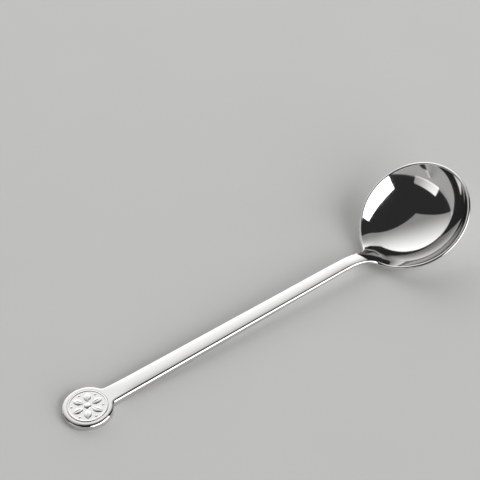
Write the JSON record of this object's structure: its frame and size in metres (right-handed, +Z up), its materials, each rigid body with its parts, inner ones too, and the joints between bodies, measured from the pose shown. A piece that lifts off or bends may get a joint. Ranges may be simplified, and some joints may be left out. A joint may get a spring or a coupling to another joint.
{
  "type": "soup spoon",
  "caption": "Round-bowled soup spoon of polished steel, with a shallow tilted bowl, a bent neck and a long flat handle that ends in a disc with a rosette medallion.",
  "frame": {"origin": "on the table, under the middle of the spoon's bounding box", "axes": "+X along the handle towards the tip of the bowl, +Z up from the table, +Y to the left across the bowl"},
  "size_m": [0.175, 0.0446, 0.0261],
  "materials": {
    "polished_steel": "mirror polished stainless steel",
    "coined_steel": "coined stainless steel, bright on the raised work and finely satin between it"
  },
  "bodies": {
    "root": {"bowl": "polished_steel", "handle": "polished_steel", "medallion": "coined_steel"}
  },
  "joints": []
}
